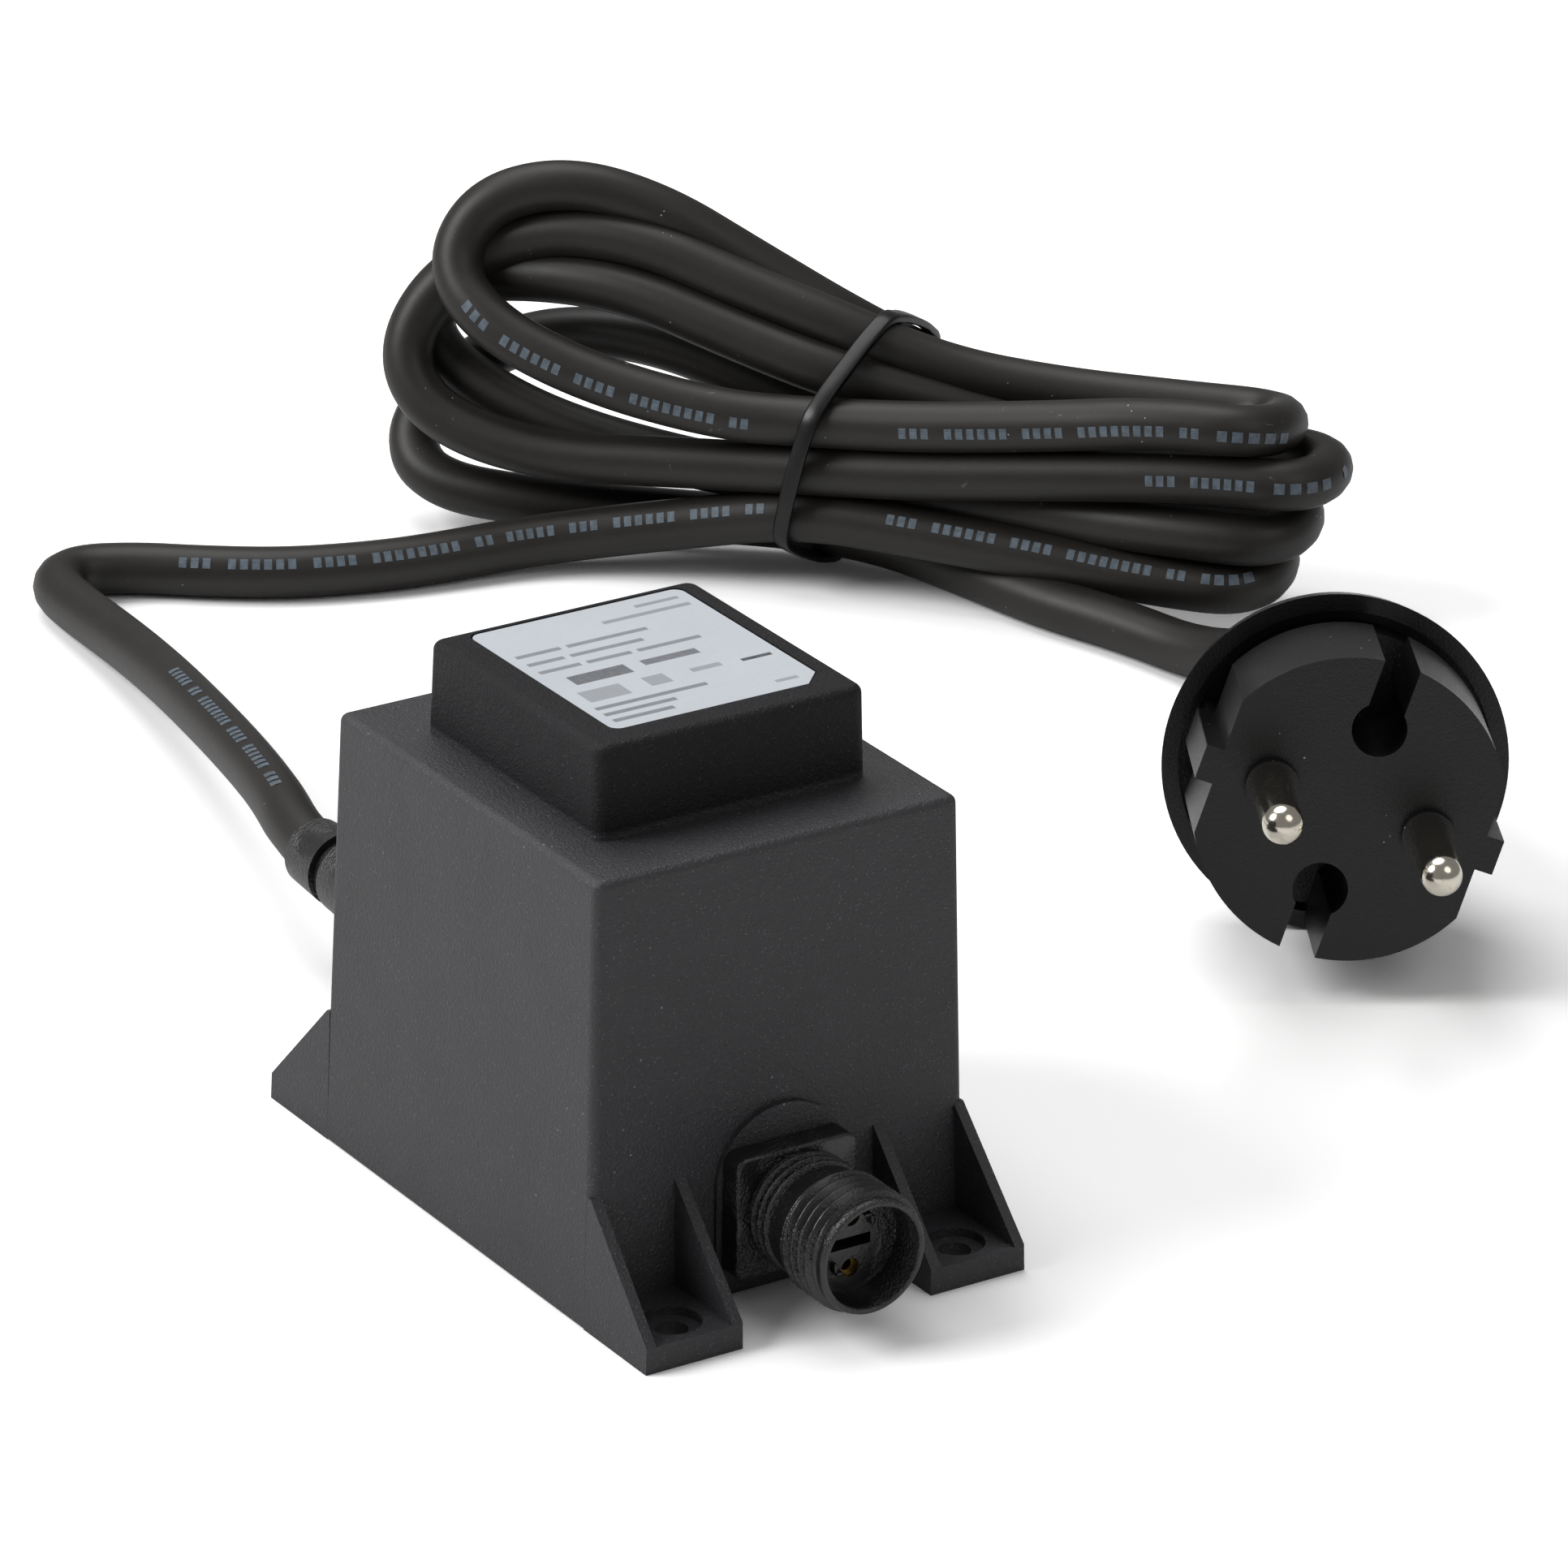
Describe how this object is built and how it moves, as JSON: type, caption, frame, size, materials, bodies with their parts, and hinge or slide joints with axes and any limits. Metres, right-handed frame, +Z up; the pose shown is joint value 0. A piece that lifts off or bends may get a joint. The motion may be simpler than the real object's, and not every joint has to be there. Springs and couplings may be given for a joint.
{
  "type": "outdoor power supply",
  "caption": "Potted outdoor power supply: drafted black box on screw feet, threaded low-voltage outlet, ringed strain relief, tied mains cord and contour plug.",
  "frame": {"origin": "middle of the housing's footprint on the floor, which is the centre of the four foot screws", "axes": "+Z up, +X to the right along the outlet face, -Y out of the outlet, +Y out of the mains entry"},
  "size_m": [0.1956, 0.2397, 0.0622],
  "materials": {
    "housing_plastic": "spark-eroded matt, moulded",
    "potting_resin": "cast, slightly glossy",
    "label_film": "bare pale film",
    "core_steel": "stacked sheet edges",
    "bobbin_nylon": "moulded nylon",
    "copper_wire": "enamelled wire",
    "winding_tape": "polyester tape",
    "fuse_case": "drawn case",
    "tinned_wire": "tinned",
    "lead_sleeve": "wire insulation",
    "port_plastic": "satin moulded",
    "contact_brass": "turned",
    "cord_rubber": "satin sheath",
    "tie_plastic": "glossy strap",
    "plug_plastic": "semi-gloss moulded",
    "pin_nickel": "bright nickel plate"
  },
  "bodies": {
    "root": {"housing_shell": "housing_plastic", "potting_compound": "potting_resin", "rating_label": "label_film", "core_e_stack": "core_steel", "core_i_stack": "core_steel", "winding_bobbin": "bobbin_nylon", "primary_winding": "copper_wire", "secondary_winding": "copper_wire", "primary_tape": "winding_tape", "secondary_tape": "winding_tape", "thermal_fuse": "fuse_case", "fuse_link": "tinned_wire", "primary_lead_live": "lead_sleeve", "primary_lead_neutral": "lead_sleeve", "secondary_lead_upper": "lead_sleeve", "secondary_lead_lower": "lead_sleeve", "outlet_body": "port_plastic", "outlet_insert": "port_plastic", "outlet_contact_upper": "contact_brass", "outlet_contact_lower": "contact_brass", "cord_strain_relief": "port_plastic", "mains_cord": "cord_rubber", "cord_hank": "cord_rubber", "plug_lead": "cord_rubber", "cord_tie": "tie_plastic", "plug_body": "plug_plastic", "plug_bridge": "plug_plastic", "plug_pin_left": "pin_nickel", "plug_pin_right": "pin_nickel", "plug_crimp_left": "contact_brass", "plug_crimp_right": "contact_brass", "plug_core_wire_left": "lead_sleeve", "plug_core_wire_right": "lead_sleeve"}
  },
  "joints": []
}
